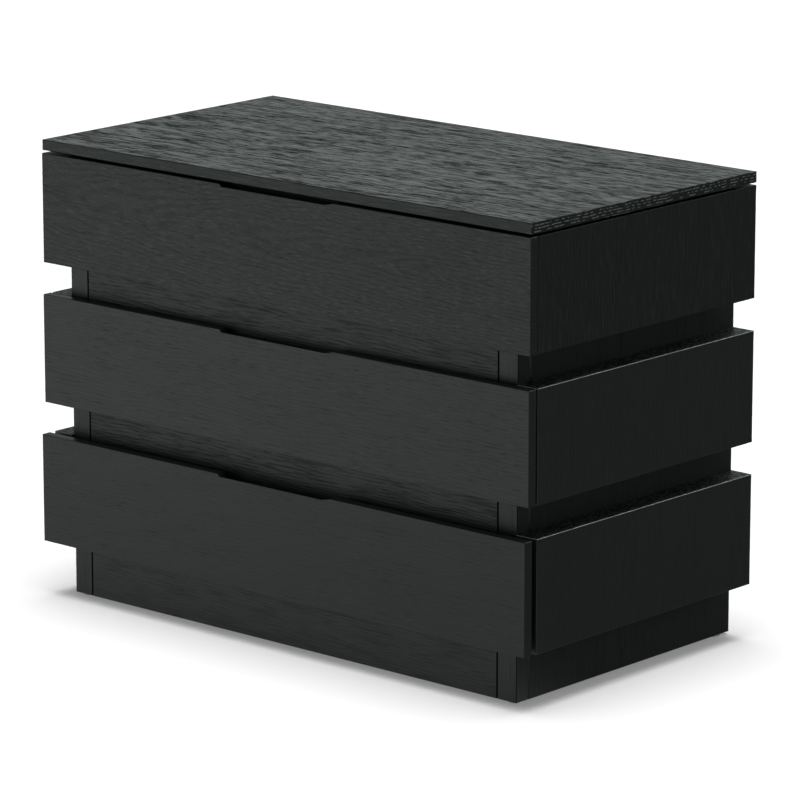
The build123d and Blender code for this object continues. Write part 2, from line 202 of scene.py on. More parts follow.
@dataclass(frozen=True)
class StainedOak:
    """Oak, sliced or sawn, stained black with open pores and a satin lacquer.

    The stain hides the hue of the wood, so the eye reads the figure as changes of sheen:
    growth rings in soft waves, dull sunk streaks along the fibres where the lacquer has
    drawn in, and rows of pale flecks where the fibres are cut across. Lengths are in
    millimetres, and every depth and sheen is a share of the full lacquer's.
    """

    name: str
    grain: Grain
    heart: Pair = (40.0, -170.0)
    tilt: Pair = (0.0, 0.0)
    ring: float = 4.2
    ring_depth: float = 0.25
    wobble: float = 14.0
    streak: Pair = (24.0, 1.6)
    streak_share: float = 0.45
    streak_depth: float = 0.3
    patch: Pair = (90.0, 14.0)
    patch_depth: float = 0.2
    glint: float = 0.0
    glint_size: Pair = (22.0, 1.4)
    face: int = 1
    # sheen of long-grain edges that are neither broad faces nor end grain: below one it is painted shade
    edge_painted_sheen: float = 1.0
    edge_figure: float = 0.3
    # sheen of rounded level and upright edges: above one it is a painted highlight, below one painted shade
    # along an arris or in a groove
    arris_painted_sheen: Pair = (1.0, 1.0)
    end_sheen: float = 0.15
    dark: str = "#030404"
    light: str = "#0f1110"
    fleck: str = "#2a2c2c"
    # overall sheen of the lacquer; lowered on some boards as painted shade
    sheen: float = 1.0
    roughness: float = 0.38
    relief: float = 0.10
    seed: float = 1.0

    def noise(
        self, tree: Tree, place: Socket, along: float, across: float, detail: float = 3.0, pick: int | str = 0
    ) -> Socket:
        """Noise whose features have their own length along the fibres and width across them.

        Args:
            tree: node tree of the material.
            place: places in millimetres, with X along the fibres.
            along: length of a feature.
            across: width of a feature.
            detail: number of finer layers.
            pick: the noise's output: its value, or its colour by name.

        Returns:
            The noise.
        """
        scale = (1 / along, 1 / across, 1 / across)
        spot = add(tree, "VectorMath", (place, scale), operation="MULTIPLY")
        return add(tree, "TexNoise", {"Vector": spot, "Scale": 1.0, "Detail": detail, "Roughness": 0.6}, pick)

    def rings(self, tree: Tree, place: Socket, own: Socket) -> Socket:
        """One in the porous early wood of each growth ring, falling to zero in the late wood.

        The rings are shells about the heart of the log, which wavers along the board: the
        distance from the heart, folded back and forth over the width of a ring.

        Args:
            tree: node tree of the material.
            place: places about the board's middle.
            own: the same places, slid by the board's seed.

        Returns:
            The early wood.
        """
        waver = self.noise(tree, own, 130.0, 45.0, 2.0, "Color")
        swing = (0.0, self.wobble, self.wobble)
        shift = (0.0, self.heart[0] - self.wobble / 2, self.heart[1] - self.wobble / 2)
        waver = add(tree, "VectorMath", (waver, swing, shift), operation="MULTIPLY_ADD")
        spoke = add(tree, "VectorMath", (place, (0.0, 1.0, 1.0), waver), operation="MULTIPLY_ADD")
        radius = add(tree, "VectorMath", (spoke,), "Value", operation="LENGTH")
        turn = add(tree, "Math", (radius, self.ring), operation="DIVIDE")
        phase = add(tree, "Math", (turn, 0.5), operation="PINGPONG")
        return add(tree, "MapRange", (phase, *PORES, 1.0, 0.0), **S_CURVE)

    def end_flecks(self, tree: Tree, own: Socket) -> Socket:
        """Rows of short dashes on end grain, each row along local Y and shifted from the next.

        Args:
            tree: node tree of the material.
            own: places slid by the board's seed.

        Returns:
            One on a dash, and zero between dashes and between rows.
        """
        parts = add(tree, "SeparateXYZ", (own,), None)
        bend = add(tree, "Math", (self.noise(tree, own, 20.0, 40.0, 1.0), FLECK_BEND), operation="MULTIPLY")
        height = add(tree, "Math", (parts[2], bend), operation="ADD")
        level = add(tree, "Math", (height, FLECK_ROW), operation="DIVIDE")
        row = add(tree, "Math", (level,), operation="FLOOR")
        shift = add(tree, "Math", (row, ROW_SHIFT), operation="MULTIPLY")
        run = add(tree, "Math", (parts[1], FLECK_LENGTH), operation="DIVIDE")
        spot = add(tree, "CombineXYZ", (run, shift))
        dash = add(tree, "TexNoise", {"Vector": spot, "Scale": 1.0, "Detail": 1.0})
        dash = add(tree, "MapRange", (dash, *DASHES, 0.0, 1.0), **S_CURVE)
        inside = add(tree, "Math", (level, 0.5), operation="PINGPONG")
        line = add(tree, "MapRange", (inside, *LINES, 0.0, 1.0), **S_CURVE)
        return add(tree, "Math", (dash, line), operation="MULTIPLY")

    def zones(self, tree: Tree) -> tuple[Socket, Socket]:
        """Tells broad faces from edges by the normal.

        A rounded edge is where the normal's three sizes add up to more than one. Level and
        upright edges have their own sheen, a painted highlight or painted shade, and flat faces
        have a sheen of one.

        Args:
            tree: node tree of the material.

        Returns:
            How far a point lies on a broad face, from 0 to 1, and the painted sheen of rounded edges.
        """
        normal = add(tree, "TexCoord", pick="Normal")
        size = add(tree, "VectorMath", (normal,), operation="ABSOLUTE")
        parts = add(tree, "SeparateXYZ", (size,), None)
        broad = add(tree, "MapRange", (parts[self.face], *BROAD, 0.0, 1.0), **S_CURVE)
        total = add(tree, "Math", (parts[0], parts[1]), operation="ADD")
        total = add(tree, "Math", (total, parts[2]), operation="ADD")
        level, upright = self.arris_painted_sheen
        edge = add(tree, "MapRange", (parts[2], *UPRIGHT, upright, level), **S_CURVE)
        rounded = add(tree, "MapRange", (total, *ROUNDED, 0.0, 1.0), **S_CURVE)
        return broad, add(tree, "Mix", {0: rounded, 2: 1.0, 3: edge}, data_type="FLOAT")

    def build(self, centre: Vector) -> bpy.types.Material:
        """Makes the material for a board.

        Args:
            centre: middle of the board, in metres.

        Returns:
            The material, with its rings laid out about the board's middle.
        """
        material, tree = blank(self.name)
        place = self.grain.places(tree, centre, self.tilt)
        slip = tuple(self.seed * step for step in SLIP)
        own = add(tree, "VectorMath", (place, slip), operation="ADD")
        # early wood is broken up along the fibres, so that a ring reads as rows of pores
        early = self.rings(tree, place, own)
        broken = add(tree, "MapRange", (self.noise(tree, own, 18.0, 1.8, 2.0), *BREAKS, 0.35, 1.0), **S_CURVE)
        early = add(tree, "Math", (early, broken), operation="MULTIPLY")
        patch = add(tree, "MapRange", (self.noise(tree, own, *self.patch), *PATCHES, 0.0, 1.0), **S_CURVE)
        crowd = add(tree, "Math", (early, patch), operation="ADD")
        streak = self.noise(tree, own, *self.streak)
        streak = add(tree, "Math", (crowd, CROWDING, streak), operation="MULTIPLY_ADD")
        edge = 0.72 - 0.45 * self.streak_share
        streak = add(tree, "MapRange", (streak, edge, edge + STREAK_EDGE, 0.0, 1.0), **S_CURVE)
        glint = self.noise(tree, own, *self.glint_size, 2.0)
        glint = add(tree, "MapRange", (glint, *GLINTS, 0.0, 1.0), **S_CURVE)

        # sheen falls where pores and streaks have drawn the lacquer in, least of all on the edges
        dull = add(tree, "Math", (streak, self.streak_depth), operation="MULTIPLY")
        dull = add(tree, "Math", (early, self.ring_depth, dull), operation="MULTIPLY_ADD")
        dull = add(tree, "Math", (patch, self.patch_depth, dull), operation="MULTIPLY_ADD")
        broad, arris = self.zones(tree)
        figure = add(tree, "MapRange", (broad, 0.0, 1.0, self.edge_figure, 1.0), **S_CURVE)
        dull = add(tree, "Math", (dull, figure), operation="MULTIPLY")
        full = add(tree, "Math", (1.0, dull), operation="SUBTRACT")
        shine = add(tree, "Math", (glint, self.glint, full), operation="MULTIPLY_ADD")
        # rounded edges take their painted highlight or painted shade
        shine = add(tree, "Math", (shine, arris), operation="MULTIPLY")
        # edges that are neither broad faces nor end grain take their own sheen, painted shade where it is
        # below one
        cut = add(tree, "Attribute", pick="Fac", attribute_name="end_grain")
        planed = add(tree, "Math", (broad, cut), operation="MAXIMUM")
        planed = add(tree, "MapRange", (planed, 0.0, 1.0, self.edge_painted_sheen, 1.0), **S_CURVE)
        shine = add(tree, "Math", (shine, planed), operation="MULTIPLY")
        # end grain drinks the lacquer, so only its pale flecks keep a sheen; where the end sheen is set very
        # low, as on the side boards' ledges, this darkening is also painted shade
        flecks = self.end_flecks(tree, own)
        dry = add(tree, "Math", (1.0, flecks), operation="SUBTRACT")
        dry = add(tree, "Math", (cut, dry), operation="MULTIPLY")
        dry = add(tree, "MapRange", (dry, 0.0, 1.0, 1.0, self.end_sheen), **S_CURVE)
        shine = add(tree, "Math", (shine, dry), operation="MULTIPLY")
        shine = add(tree, "Math", (shine, 0.5 * self.sheen), operation="MULTIPLY")
        shine = add(tree, "Math", (shine, LEAST_SHEEN), operation="MAXIMUM")
        # the stain is a little deeper where the lacquer is dull, and pale in the flecks
        stain = add(tree, "Mix", {0: full, 6: srgb(self.dark), 7: srgb(self.light)}, 2, data_type="RGBA")
        pale = add(tree, "Math", (flecks, cut), operation="MULTIPLY")
        colour = add(tree, "Mix", {0: pale, 6: stain, 7: srgb(self.fleck)}, 2, data_type="RGBA")
        rough = add(tree, "Math", (dull, DULL_ROUGHNESS, self.roughness), operation="MULTIPLY_ADD")
        # streaks sink the most, and rings and patches less
        height = add(tree, "Math", (early, -0.5), operation="MULTIPLY")
        height = add(tree, "Math", (streak, -0.7, height), operation="MULTIPLY_ADD")
        height = add(tree, "Math", (patch, -0.5, height), operation="MULTIPLY_ADD")
        surface = {"Base Color": colour, "Roughness": rough, "IOR": 1.5, "Specular IOR Level": shine}
        show(tree, surface, height, 1.0, self.relief)
        return material


@dataclass(frozen=True)
class BirchPly:
    """Birch plywood under clear lacquer: pale, fine-grained faces and striped edges.

    Long fine fibres over slow clouds give the eye the silky run of rotary-cut birch.
    """

    name: str
    grain: Grain
    through: int
    face: str = "#c9a877"
    shade: str = "#a8834f"
    core: str = "#7c5a34"
    core_share: float = 0.75
    ply: float = 1.4
    fibre: Pair = (90.0, 2.4)
    cloud: Pair = (140.0, 30.0)

    def build(self, centre: Vector) -> bpy.types.Material:
        """Makes the material; the plies are stacked along one axis from the board's middle.

        Args:
            centre: middle of the board, in metres.

        Returns:
            The material.
        """
        material, tree = blank(self.name)
        place = self.grain.places(tree, centre)
        layers = []
        for (along, across), detail in ((self.fibre, 5.0), (self.cloud, 3.0)):
            scale = (1 / along, 1 / across, 1 / across)
            spot = add(tree, "VectorMath", (place, scale), operation="MULTIPLY")
            layers.append(add(tree, "TexNoise", {"Vector": spot, "Scale": 1.0, "Detail": detail}))
        tone = add(tree, "Math", layers, operation="ADD")
        tone = add(tree, "MapRange", (tone, 0.7, 1.3))
        face = add(tree, "Mix", {0: tone, 6: srgb(self.shade), 7: srgb(self.face)}, 2, data_type="RGBA")
        coords = add(tree, "TexCoord", pick="Object")
        offset = add(tree, "VectorMath", (coords, tuple(centre)), operation="SUBTRACT")
        depth = add(tree, "SeparateXYZ", (offset,), self.through)
        plies = add(tree, "Math", (depth, 2 * self.ply * MM), operation="DIVIDE")
        layer = add(tree, "Math", (plies,), operation="FRACT")
        band = add(tree, "Math", (layer, 0.5), operation="GREATER_THAN")
        # only edges show the stripes, because a face lies within one ply
        stripe = add(tree, "Math", (band, self.core_share), operation="MULTIPLY")
        colour = add(tree, "Mix", {0: stripe, 6: face, 7: srgb(self.core)}, 2, data_type="RGBA")
        rough = add(tree, "Math", (layers[0], 0.2, 0.34), operation="MULTIPLY_ADD")
        show(tree, {"Base Color": colour, "Roughness": rough, "IOR": 1.5}, layers[0], 0.5, 0.08)
        return material


@dataclass(frozen=True)
class Plain:
    """A finish with fine speckle: rolled and zinc-plated steel, moulded nylon, rubber or hardboard.

    The speckle breaks the sheen up, so that the eye reads a made surface and not a flat fill.
    """

    name: str
    colour: str
    shade: str
    roughness: float
    metallic: float = 0.0
    ior: float = 1.5
    speck: Triple = (1.0, 1.0, 1.0)
    relief: float = 0.02
    rough_swing: float = 0.14

    def build(self) -> bpy.types.Material:
        """Makes the material, with its speck sizes in millimetres along each axis.

        Returns:
            The material. Metal keeps the shader's own index of refraction.
        """
        material, tree = blank(self.name)
        coords = add(tree, "TexCoord", pick="Object")
        scale = tuple(1 / (MM * size) for size in self.speck)
        grit = add(tree, "VectorMath", (coords, scale), operation="MULTIPLY")
        noise = add(tree, "TexNoise", {"Vector": grit, "Scale": 1.0, "Detail": 4.0})
        tone = add(tree, "MapRange", (noise, 0.3, 0.7))
        colour = add(tree, "Mix", {0: tone, 6: srgb(self.shade), 7: srgb(self.colour)}, 2, data_type="RGBA")
        least = self.roughness - self.rough_swing / 2
        rough = add(tree, "Math", (tone, self.rough_swing, least), operation="MULTIPLY_ADD")
        surface = {"Base Color": colour, "Roughness": rough, "Metallic": self.metallic}
        if self.metallic == 0.0:
            surface["IOR"] = self.ior
        show(tree, surface, noise, 0.6, self.relief)
        return material


def finished_mesh(name: str, places: np.ndarray, faces: np.ndarray) -> bpy.types.Object:
    """Turns arrays into a closed, smooth-shaded object with outward faces.

    Args:
        name: name of the piece.
        places: vertex places in metres, one row each.
        faces: four vertex numbers for each face.

    Returns:
        The object, linked to the scene and standing at the origin.
    """
    mesh = bpy.data.meshes.new(name)
    mesh.from_pydata(places.tolist(), [], faces.tolist())
    work = bmesh.new()
    work.from_mesh(mesh)
    bmesh.ops.remove_doubles(work, verts=work.verts, dist=MERGED)
    bmesh.ops.dissolve_degenerate(work, edges=work.edges, dist=DROPPED)
    bmesh.ops.recalc_face_normals(work, faces=work.faces)
    work.to_mesh(mesh)
    work.free()
    mesh.polygons.foreach_set("use_smooth", np.ones(len(mesh.polygons), bool))
    mesh.set_sharp_from_angle(angle=SHARP_ANGLE)
    piece = bpy.data.objects.new(name, mesh)
    bpy.context.scene.collection.objects.link(piece)
    return piece


def grid_faces(rows: int, columns: int) -> np.ndarray:
    """Quads that join neighbouring rows of a grid whose columns close on themselves.

    Args:
        rows: number of rows.
        columns: number of points in a row.

    Returns:
        Four vertex numbers for each quad.
    """
    start = np.arange(rows - 1)[:, None] * columns
    here = np.arange(columns)[None, :]
    after = (here + 1) % columns
    quads = np.stack([start + here, start + after, start + columns + after, start + columns + here], -1)
    return quads.reshape(-1, 4)


def spread(low: float, high: float, step: float, support: float) -> np.ndarray:
    """Places from low to high, about a step apart, with one close to each end.

    Args:
        low: first place.
        high: last place.
        step: distance wanted between places.
        support: distance from each end to the place that holds it.

    Returns:
        The places, in rising order.
    """
    inner = np.linspace(low, high, max(2, int(round((high - low) / step)) + 1))
    return np.unique(np.concatenate([inner, [low + support, high - support]]))


@dataclass(frozen=True)
class Corner:
    """One long corner of a board: its size in millimetres, cut flat or rounded."""

    size: float = 0.7
    flat: bool = False


@dataclass
class Board:
    """A board swept along one axis, with eased corners, slightly uneven faces and worn edges.

    The section is a rectangle with four worked corners. It is carried along the sweep axis,
    drawn in at each end along a quarter circle, and closed by rings that shrink to a line.
    Lengths are in millimetres: how deep the faces are uneven and the corners worn, how wide
    the bands at corners and ends are where that fades, and how long the waves are, slow ones
    along and across the board and then two quick ones along it.
    """

    low: Vector
    high: Vector
    sweep: int
    corners: tuple[Corner, Corner, Corner, Corner] = (Corner(),) * 4
    end_round: float = 0.6
    step: float = 8.0
    support: float = 0.35
    cap_step: float = 0.4
    uneven: float = 0.07
    wear: float = 0.22
    corner_band: float = 2.0
    end_band: float = 6.0
    waves: tuple[float, float, float, float] = (31.0, 17.0, 3.7, 11.0)
    seed: int = 1
    stations: tuple[float, ...] = ()
    arc_points: int = 5
    grain_axis: int = -1
    across: tuple[int, int] = field(init=False)

    def __post_init__(self) -> None:
        """Works out the two axes of the section."""
        self.across = tuple(axis for axis in range(3) if axis != self.sweep)

    def half(self) -> np.ndarray:
        """Half the board's size along each axis, in millimetres."""
        return np.array(self.high - self.low) / (2 * MM)

    def middle(self) -> Vector:
        """The board's middle, in metres."""
        return (self.low + self.high) / 2

    def sections(self, insets: np.ndarray) -> np.ndarray:
        """Outlines of the section, each drawn in by its own inset.

        A rounded corner is a quarter circle whose radius falls with the inset, and a cut
        corner is a straight line. The sides between corners are straight.

        Args:
            insets: distance that each outline is drawn in, in millimetres.

        Returns:
            Places across the board: outline, point, then two coordinates.
        """
        half = self.half()[list(self.across)]
        reach = half[None, :] - insets[:, None]
        signs = np.array([(1, 1), (-1, 1), (-1, -1), (1, -1)])
        arcs = []
        for corner, sign, start in zip(self.corners, signs, range(4)):
            size = np.maximum(corner.size - insets, 0.0)[:, None, None]
            turn = np.linspace(0, 1, self.arc_points)
            angle = (turn + start) * math.pi / 2
            bend = np.stack([np.cos(angle), np.sin(angle)], -1)
            if corner.flat:
                bend = bend[:1] * (1 - turn[:, None]) + bend[-1:] * turn[:, None]
            arcs.append(sign * (reach[:, None, :] - size) + size * bend)
        parts = []
        for index, arc in enumerate(arcs):
            follow = arcs[(index + 1) % 4]
            length = 2 * half[0 if index % 2 == 0 else 1]
            share = spread(0.0, 1.0, self.step / length, min(self.support / length, 0.2))[1:-1]
            side = arc[:, -1:, :] * (1 - share[None, :, None]) + follow[:, :1, :] * share[None, :, None]
            parts += [arc, side]
        return np.concatenate(parts, axis=1)

    def rings(self) -> tuple[np.ndarray, np.ndarray]:
        """Lays the rings along the board, with a quarter circle of them at each end.

        Returns:
            Each ring's place along the sweep and its inset, in millimetres.
        """
        half = self.half()
        length = half[self.sweep]
        deep = min(half[axis] for axis in self.across)
        angle = np.linspace(0, math.pi / 2, 5)
        ease_at = self.end_round * (1 - np.cos(angle))
        ease_in = self.end_round * (1 - np.sin(angle))
        cap_in = np.array([deep, self.end_round + self.cap_step])
        first_at = np.concatenate([np.zeros(len(cap_in)), ease_at]) - length
        first_in = np.concatenate([cap_in, ease_in])
        reach = length - self.end_round
        run = spread(-reach, reach, self.step, self.support)[1:-1]
        if self.stations:
            # a ring closer than a millimetre to a station gives way to it
            keep = np.min(np.abs(run[:, None] - np.array(self.stations)[None, :]), axis=1) > 1.0
            run = np.sort(np.concatenate([run[keep], self.stations]))
        at = np.concatenate([first_at, run, -first_at[::-1]])
        inset = np.concatenate([first_in, np.zeros(len(run)), first_in[::-1]])
        return at, inset

    def weathered(self, places: np.ndarray) -> np.ndarray:
        """Draws the faces in by slow waves, and the long corners by shorter ones.

        Each wave is half a sine plus a half, so that nothing stands proud of the board.

        Args:
            places: vertex places about the board's middle, in millimetres.

        Returns:
            The places, drawn in by hundredths of a millimetre.
        """
        half = self.half()
        rng = np.random.default_rng(self.seed)
        run = places[:, self.sweep]
        band = self.corner_band
        near = [np.clip((np.abs(places[:, a]) - half[a] + band) / band, 0, 1) for a in self.across]
        inside = np.clip((half[self.sweep] - np.abs(run)) / self.end_band, 0, 1)
        moved = places.copy()
        for own, axis in enumerate(self.across):
            other = self.across[1 - own]
            phase = rng.uniform(0, 2 * math.pi, 4)
            slow = np.sin(run / self.waves[0] + phase[0])
            slow = slow + np.sin(places[:, other] / self.waves[1] + phase[1])
            quick = np.sin(run / self.waves[2] + phase[2]) * np.sin(run / self.waves[3] + phase[3])
            worn = self.wear * near[1 - own] * (0.5 + 0.5 * quick) * 0.5
            amount = self.uneven * (0.5 + 0.25 * slow) + worn
            moved[:, axis] -= np.sign(places[:, axis]) * near[own] * inside * amount
        return moved

    def build(
        self, name: str, reshape: Callable[[np.ndarray], np.ndarray] | None = None
    ) -> bpy.types.Object:
        """Builds the board.

        Args:
            name: name of the piece.
            reshape: changes the places, in metres, before the mesh is made.

        Returns:
            The piece, with its end grain marked in an attribute.
        """
        at, inset = self.rings()
        outline = self.sections(inset)
        rows, columns = outline.shape[:2]
        places = np.zeros((rows, columns, 3))
        places[:, :, list(self.across)] = outline
        places[:, :, self.sweep] = at[:, None]
        places = self.weathered(places.reshape(-1, 3)) * MM + np.array(self.middle())
        if reshape is not None:
            places = reshape(places)
        piece = finished_mesh(name, places, grid_faces(rows, columns))
        self.mark_end_grain(piece)
        return piece

    def mark_end_grain(self, piece: bpy.types.Object) -> None:
        """Writes one on the corners of faces that look along the fibres, and zero elsewhere.

        Args:
            piece: the board's object, whose mesh gets the attribute.
        """
        axis = self.sweep if self.grain_axis < 0 else self.grain_axis
        mesh = piece.data
        normals = np.zeros(len(mesh.polygons) * 3, np.float32)
        mesh.polygons.foreach_get("normal", normals)
        looks = (np.abs(normals.reshape(-1, 3)[:, axis]) > END_GRAIN).astype(np.float32)
        totals = np.zeros(len(mesh.polygons), np.int32)
        mesh.polygons.foreach_get("loop_total", totals)
        layer = mesh.attributes.new("end_grain", "FLOAT", "CORNER")
        layer.data.foreach_set("value", np.repeat(looks, totals))


def place_piece(
    piece: bpy.types.Object, material: bpy.types.Material, body: str, nodes: Sequence[str] = ()
) -> bpy.types.Object:
    """Gives a piece its finish, its body and the CAD nodes that it stands for.

    Args:
        piece: finished object.
        material: its only material.
        body: CAD body that it rides on.
        nodes: CAD nodes that it replaces.

    Returns:
        The same piece.
    """
    piece.data.materials.clear()
    piece.data.materials.append(material)
    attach(piece, body)
    if nodes:
        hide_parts(*nodes)
    LOG.info("%s: %d faces on %s", piece.name, len(piece.data.polygons), body)
    return piece


def repaint(node: str, material: bpy.types.Material) -> None:
    """Gives a CAD node that keeps its own shape a better finish.

    Args:
        node: name of the CAD node.
        material: its only material.
    """
    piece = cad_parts[node]
    piece.data.materials.clear()
    piece.data.materials.append(material)
    LOG.info("%s keeps its shape, in %s", node, material.name)


def turned(profile: np.ndarray, spokes: int, recess: float = 0.0, arm: float = 0.0) -> Shape:
    """A profile turned about Z, with an optional cross recess in its top.

    A point at radius r and angle t stands at (r cos t, r sin t, z). Inside the recess, z sinks
    where either cross arm passes: within half an arm's width of the line of that arm.

    Args:
        profile: radius and height of each ring, from the top's middle to the bottom's middle.
        spokes: number of points round each ring.
        recess: depth of the cross, in the profile's unit.
        arm: half the length of a cross arm, in the profile's unit.

    Returns:
        Vertex places and quads.
    """
    angle = np.arange(spokes) * 2 * math.pi / spokes
    radius, height = profile[:, 0][:, None], profile[:, 1][:, None]
    x, y = radius * np.cos(angle), radius * np.sin(angle)
    z = np.repeat(height, spokes, axis=1)
    if recess > 0:
        top = np.arange(len(profile))[:, None] < np.argmax(profile[:, 0])
        thin = np.minimum(np.abs(x), np.abs(y))
        cross = (thin < arm * CROSS_WIDTH) & (np.maximum(np.abs(x), np.abs(y)) < arm)
        fade = 1 - np.clip(np.hypot(x, y) / arm, 0, 1) * CROSS_FADE
        z = z - np.where(cross & top, recess * fade, 0.0)
    return np.stack([x, y, z], -1).reshape(-1, 3), grid_faces(len(profile), spokes)


def laid_along(places: np.ndarray, point: Sequence[float], direction: Sequence[float]) -> np.ndarray:
    """Turns places built about +Z to look along a direction, and moves them to a point.

    Args:
        places: vertex places about +Z.
        point: where the shape's origin goes.
        direction: where its +Z goes.

    Returns:
        The moved places.
    """
    turn = Vector(direction).to_track_quat("Z", "Y").to_matrix()
    return places @ np.array(turn).T + np.array(point)


def copies(shape: Shape, spots: Sequence[Spot]) -> Shape:
    """The same small shape at many spots.

    Args:
        shape: vertex places about +Z, in metres, and quads.
        spots: a point and an outward direction for each copy.

    Returns:
        Places and quads of all copies.
    """
    places, faces = shape
    every = [laid_along(places, point, direction) for point, direction in spots]
    quads = [faces + index * len(places) for index in range(len(spots))]
    return np.concatenate(every), np.concatenate(quads)


@dataclass
class Cabinet:
    """The fixed part: top, core, side boards, rails and what holds them together."""

    arris: float = 0.7
    groove: float = 1.3
    body: str = "cabinet"

    def stain(self, node: str, name: str, grain: Grain, **looks: Any) -> None:
        """Stains a board that keeps its own shape.

        Args:
            node: CAD node of the board.
            name: name of the finish.
            grain: the way its fibres run.
            looks: other fields of the finish.
        """
        low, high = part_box(node)
        repaint(node, StainedOak(name, grain, **looks).build((low + high) / 2))

    def swept(self, node: str, sweep: int, finish: StainedOak, slot: str, **shape: Any) -> None:
        """Builds one board in the place of its CAD node.

        Args:
            node: CAD node that the board stands for.
            sweep: axis that the section is carried along.
            finish: oak for the board.
            slot: not used.
            shape: other fields of the board.
        """
        low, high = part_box(node)
        board = Board(low, high, sweep, **shape)
        piece = board.build(node + "_oak")
        place_piece(piece, finish.build(board.middle()), self.body, [node])

    def dress_top(self) -> None:
        """The top: flat-sawn veneer that catches the light behind it, with cut fibres at its ends."""
        # painted shade: a thin dark line along the top's level arrises, and darker long front and back edges
        finish = StainedOak(
            "black_stained_oak_top", Grain.WIDTH, heart=(30.0, -240.0), tilt=(0.4, 2.5), ring=5.0,
            ring_depth=0.4, wobble=26.0, streak=(20.0, 1.7), streak_share=0.48, streak_depth=0.85,
            patch=(110.0, 14.0), patch_depth=0.3, glint=0.4, glint_size=(40.0, 3.0), face=2,
            edge_figure=0.08, edge_painted_sheen=0.74, arris_painted_sheen=(0.1, 1.0), light="#181b1a", fleck="#545757",
            relief=0.30,
        )
        corners = (Corner(1.1),) * 4
        self.swept("top_panel", 0, finish, "top_veneer", corners=corners, step=7.0, seed=11, wear=0.15)

    def dress_side_boards(self) -> None:
        """Six thick side boards with upright grain, each cut from a different place in the log."""
        for side, sign in SIDES.items():
            for index, band in enumerate(BANDS):
                seed = 3.0 + index + 5 * (sign > 0)
                # painted shade: a lower sheen darkens the upper boards, and their level arrises are dulled
                # where the top shades them; painted highlight: a bright line along the level arrises of the
                # middle and lower boards
                # the very low end sheen and darker flecks darken the ledges both as end grain that drinks the
                # lacquer and as painted shade under the band above
                finish = StainedOak(
                    f"black_stained_oak_side_{side}_{band}", Grain.UPRIGHT,
                    heart=(-95.0 + 60 * index, sign * 46.0), tilt=(1.5, 5.0 - 4 * index), ring=4.6,
                    ring_depth=(0.18, 0.08, 0.06)[index], wobble=16.0, streak=(40.0, 1.4),
                    streak_share=0.3, streak_depth=0.06, patch_depth=0.05, glint=(0.7, 0.2, 0.1)[index],
                    glint_size=(30.0, 1.6), face=0, arris_painted_sheen=((0.2, 1.0), (6.0, 1.2), (6.0, 1.2))[index],
                    end_sheen=0.06, fleck="#3e4141", sheen=(0.66, 0.9, 0.94)[index], roughness=0.42,
                    relief=0.07, seed=seed,
                )
                node = f"{side}_side_board_{band}"
                self.swept(node, 2, finish, "side_board_veneer", seed=20 + index + sign)

    def dress_uprights(self) -> None:
        """Posts, with a groove cut along the edges that meet rails and sides, and the core sides."""
        cut, round_ = Corner(self.groove, flat=True), Corner(self.arris)
        square = Corner(0.3)
        # corners run from (+x, +y) round to (+x, -y)
        shapes = {"left": (square, cut, round_, cut), "right": (cut, square, cut, round_)}
        for side, sign in SIDES.items():
            # painted shade: upright edges, the grooves among them, get almost no sheen, so the grooves read
            # dark
            finish = StainedOak(
                f"black_stained_oak_post_{side}", Grain.UPRIGHT, heart=(60.0, 30.0), ring=2.6,
                ring_depth=0.08, wobble=5.0, streak=(60.0, 1.8), streak_depth=0.08, patch_depth=0.05,
                arris_painted_sheen=(0.5, 0.03), relief=0.06, seed=8.0 + sign,
            )
            self.swept(f"{side}_post", 2, finish, "upright_veneer", corners=shapes[side], seed=30 + sign)
            # painted shade: a lower sheen darkens the core sides, which are recessed between the side boards
            self.stain(
                f"{side}_side_panel", f"black_stained_oak_core_side_{side}", Grain.UPRIGHT,
                heart=(40.0, sign * 60.0), tilt=(1.0, 3.0), ring=4.4, ring_depth=0.12, streak_depth=0.1,
                patch_depth=0.06, face=0, sheen=0.8, roughness=0.42, relief=0.06, seed=13.0 + sign,
            )

    def dress_rails(self) -> None:
        """Rails and plinth between the posts, with rougher figure than the drawer fronts."""
        cut, square = Corner(self.groove, flat=True), Corner(0.3)
        for index, node in enumerate(("upper_rail", "lower_rail", "plinth_board", "top_front_rail")):
            # painted shade: the upright cut edges that form the grooves at the posts get almost no sheen, and
            # the top front rail, which shows only through the notch, gets a low sheen
            finish = StainedOak(
                f"black_stained_oak_{node}", Grain.WIDTH, heart=(20.0, -60.0 - 30 * index), tilt=(0.6, 0.0),
                ring_depth=0.15, wobble=20.0, streak=(26.0, 2.0),
                streak_depth=0.1 if node == "plinth_board" else 0.25, patch=(60.0, 9.0), patch_depth=0.12,
                arris_painted_sheen=(0.5, 0.03), sheen=0.3 if node == "top_front_rail" else 1.0,
                seed=16.0 + index,
            )
            self.swept(
                node, 2, finish, "rail_veneer", corners=(square, square, cut, cut), seed=40 + index,
                end_round=0.4, grain_axis=0,
            )

    def dress_hidden_boards(self) -> None:
        """Boards that show only from behind, from below or with a drawer out."""
        dyed = {node: (Grain.WIDTH, 50.0) for node in ("front_stretcher", "rear_stretcher", "base_panel")}
        dyed |= {f"{side}_runner_battens": (Grain.DEPTH, 55.0) for side in SIDES}
        for node, (grain, seed) in dyed.items():
            self.stain(
                node, f"dyed_birch_{node}", grain, dark="#121413", light="#232625", sheen=0.6,
                roughness=0.55, relief=0.05, seed=seed,
            )
        hardboard = Plain("pressed_hardboard", "#2b2622", "#1a1714", 0.62, speck=(2.2, 2.2, 2.2), relief=0.12)
        repaint("back_panel", hardboard.build())
        repaint("dowels", Plain("turned_beech", "#c89b6a", "#a87a4a", 0.5, speck=(0.8, 0.8, 6.0)).build())

